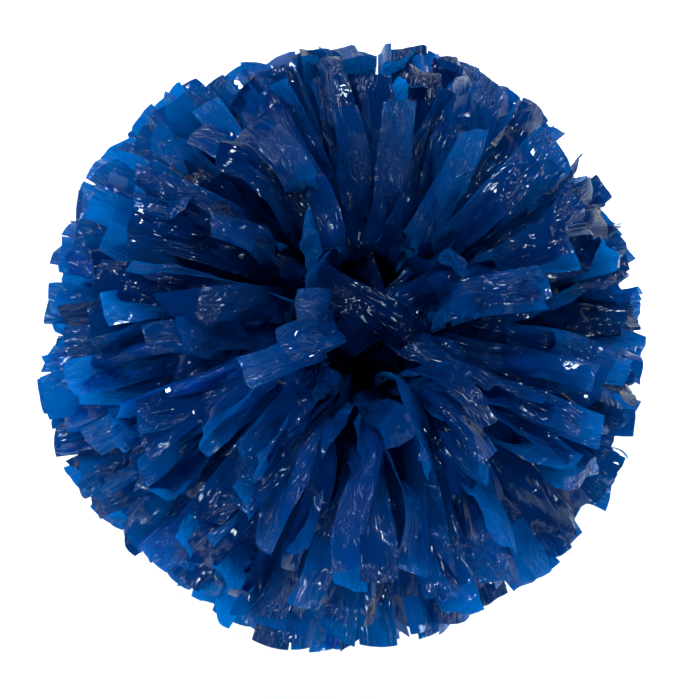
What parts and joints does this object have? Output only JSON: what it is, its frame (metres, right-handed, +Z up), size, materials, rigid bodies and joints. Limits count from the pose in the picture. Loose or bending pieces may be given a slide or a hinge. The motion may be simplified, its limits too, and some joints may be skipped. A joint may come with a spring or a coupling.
{
  "type": "cheer pom pom",
  "caption": "Round cheer pom of crinkled wet-look blue film streamers, tied in two mops on the ends of a hollow baton with room for a hand between them.",
  "frame": {"origin": "on the floor under the middle of the baton, at the flat underside of the bottom tuft", "axes": "+Z up along the baton, +X through the middle of the first sector of streamers"},
  "size_m": [0.305, 0.2926, 0.2979],
  "materials": {
    "blue_film": "glossy, crinkled wet-look film",
    "handle_plastic": "satin moulded",
    "tie_nylon": "satin"
  },
  "bodies": {
    "handle": {"handle_tube": "handle_plastic", "upper_collar": "handle_plastic", "upper_end_plug": "handle_plastic", "upper_header_roll": "blue_film", "upper_inner_tie": "tie_nylon", "upper_outer_tie": "tie_nylon", "lower_collar": "handle_plastic", "lower_end_plug": "handle_plastic", "lower_header_roll": "blue_film", "lower_inner_tie": "tie_nylon", "lower_outer_tie": "tie_nylon", "bottom_tuft": "blue_film"},
    "upper_streamers_1": {"upper_crown_tuft_1": "blue_film", "upper_mid_tuft_1": "blue_film", "upper_skirt_tuft_1": "blue_film"},
    "upper_streamers_2": {"upper_crown_tuft_2": "blue_film", "upper_mid_tuft_2": "blue_film", "upper_skirt_tuft_2": "blue_film"},
    "upper_streamers_3": {"upper_crown_tuft_3": "blue_film", "upper_mid_tuft_3": "blue_film", "upper_skirt_tuft_3": "blue_film"},
    "upper_streamers_4": {"upper_crown_tuft_4": "blue_film", "upper_mid_tuft_4": "blue_film", "upper_skirt_tuft_4": "blue_film"},
    "upper_streamers_5": {"upper_crown_tuft_5": "blue_film", "upper_mid_tuft_5": "blue_film", "upper_skirt_tuft_5": "blue_film"},
    "upper_streamers_6": {"upper_crown_tuft_6": "blue_film", "upper_mid_tuft_6": "blue_film", "upper_skirt_tuft_6": "blue_film"},
    "lower_streamers_1": {"lower_mid_tuft_1": "blue_film", "lower_skirt_tuft_1": "blue_film"},
    "lower_streamers_2": {"lower_mid_tuft_2": "blue_film", "lower_skirt_tuft_2": "blue_film"},
    "lower_streamers_3": {"lower_mid_tuft_3": "blue_film", "lower_skirt_tuft_3": "blue_film"},
    "lower_streamers_4": {"lower_mid_tuft_4": "blue_film", "lower_skirt_tuft_4": "blue_film"},
    "lower_streamers_5": {"lower_mid_tuft_5": "blue_film", "lower_skirt_tuft_5": "blue_film"},
    "lower_streamers_6": {"lower_mid_tuft_6": "blue_film", "lower_skirt_tuft_6": "blue_film"}
  },
  "joints": [
    {"name": "upper_swing_1", "type": "hinge", "parent": "handle", "child": "upper_streamers_1", "pos_m": [0.02, 0, 0.1895], "axis": [0, -1, 0], "range_deg": [-14, 12], "stiffness_Nm_per_rad": 0.6, "springref_deg": 1.22},
    {"name": "upper_swing_2", "type": "hinge", "parent": "handle", "child": "upper_streamers_2", "pos_m": [0.01, 0.01732, 0.1895], "axis": [0.866, -0.5, 0], "range_deg": [-14, 12], "stiffness_Nm_per_rad": 0.6, "springref_deg": 1.22},
    {"name": "upper_swing_3", "type": "hinge", "parent": "handle", "child": "upper_streamers_3", "pos_m": [-0.01, 0.01732, 0.1895], "axis": [0.866, 0.5, 0], "range_deg": [-14, 12], "stiffness_Nm_per_rad": 0.6, "springref_deg": 1.22},
    {"name": "upper_swing_4", "type": "hinge", "parent": "handle", "child": "upper_streamers_4", "pos_m": [-0.02, 0, 0.1895], "axis": [0, 1, 0], "range_deg": [-14, 12], "stiffness_Nm_per_rad": 0.6, "springref_deg": 1.22},
    {"name": "upper_swing_5", "type": "hinge", "parent": "handle", "child": "upper_streamers_5", "pos_m": [-0.01, -0.01732, 0.1895], "axis": [-0.866, 0.5, 0], "range_deg": [-14, 12], "stiffness_Nm_per_rad": 0.6, "springref_deg": 1.22},
    {"name": "upper_swing_6", "type": "hinge", "parent": "handle", "child": "upper_streamers_6", "pos_m": [0.01, -0.01732, 0.1895], "axis": [-0.866, -0.5, 0], "range_deg": [-14, 12], "stiffness_Nm_per_rad": 0.6, "springref_deg": 1.22},
    {"name": "lower_swing_1", "type": "hinge", "parent": "handle", "child": "lower_streamers_1", "pos_m": [0.02, 0, 0.0805], "axis": [0, -1, 0], "range_deg": [-4, 14], "stiffness_Nm_per_rad": 0.6, "springref_deg": 1.07},
    {"name": "lower_swing_2", "type": "hinge", "parent": "handle", "child": "lower_streamers_2", "pos_m": [0.01, 0.01732, 0.0805], "axis": [0.866, -0.5, 0], "range_deg": [-4, 14], "stiffness_Nm_per_rad": 0.6, "springref_deg": 1.07},
    {"name": "lower_swing_3", "type": "hinge", "parent": "handle", "child": "lower_streamers_3", "pos_m": [-0.01, 0.01732, 0.0805], "axis": [0.866, 0.5, 0], "range_deg": [-4, 14], "stiffness_Nm_per_rad": 0.6, "springref_deg": 1.07},
    {"name": "lower_swing_4", "type": "hinge", "parent": "handle", "child": "lower_streamers_4", "pos_m": [-0.02, 0, 0.0805], "axis": [0, 1, 0], "range_deg": [-4, 14], "stiffness_Nm_per_rad": 0.6, "springref_deg": 1.07},
    {"name": "lower_swing_5", "type": "hinge", "parent": "handle", "child": "lower_streamers_5", "pos_m": [-0.01, -0.01732, 0.0805], "axis": [-0.866, 0.5, 0], "range_deg": [-4, 14], "stiffness_Nm_per_rad": 0.6, "springref_deg": 1.07},
    {"name": "lower_swing_6", "type": "hinge", "parent": "handle", "child": "lower_streamers_6", "pos_m": [0.01, -0.01732, 0.0805], "axis": [-0.866, -0.5, 0], "range_deg": [-4, 14], "stiffness_Nm_per_rad": 0.6, "springref_deg": 1.07}
  ]
}
